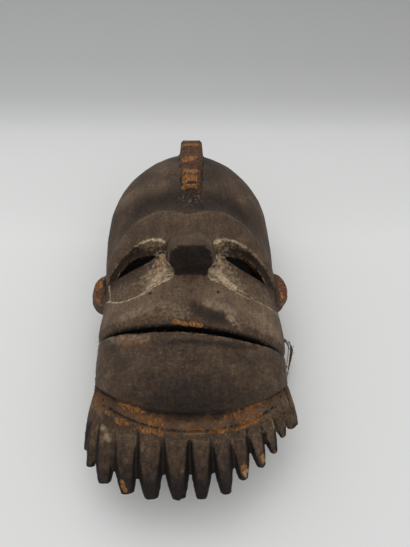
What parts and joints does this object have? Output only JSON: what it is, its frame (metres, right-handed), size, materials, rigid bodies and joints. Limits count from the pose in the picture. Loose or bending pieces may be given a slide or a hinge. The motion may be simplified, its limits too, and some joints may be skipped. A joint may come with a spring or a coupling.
{
  "type": "carved wooden face mask with movable jaw",
  "caption": "Hollow carved wooden face mask with slit eyes, a crest and a separate bearded lower jaw, tied on at both sides so that the mouth opens.",
  "frame": {"origin": "on the plane of the back rims, under the middle of the part's box", "axes": "+Y from the beard to the crown of the head, +X to the viewer's right, +Z out of the open back towards the carved face"},
  "size_m": [0.1588, 0.3164, 0.1065],
  "materials": {
    "face_wood": "dark smoked wood, worn and mottled, with kaolin in the creases",
    "jaw_wood": "dark smoked wood with orange-brown chips and rubbed edges",
    "wire": "dull galvanised wire",
    "cord": "dark twisted plant fibre, frayed"
  },
  "bodies": {
    "face": {"face": "face_wood", "tie_wire_right": "wire", "tie_cord_right": "cord", "tie_wire_left": "wire", "tie_cord_left": "cord"},
    "jaw": {"jaw": "jaw_wood"}
  },
  "joints": [
    {"name": "jaw_hinge", "type": "hinge", "parent": "face", "child": "jaw", "pos_m": [-0.0006, -0.06335, 0.018], "axis": [0.996, -0.0896, 0], "range_deg": [-3, 25]}
  ]
}
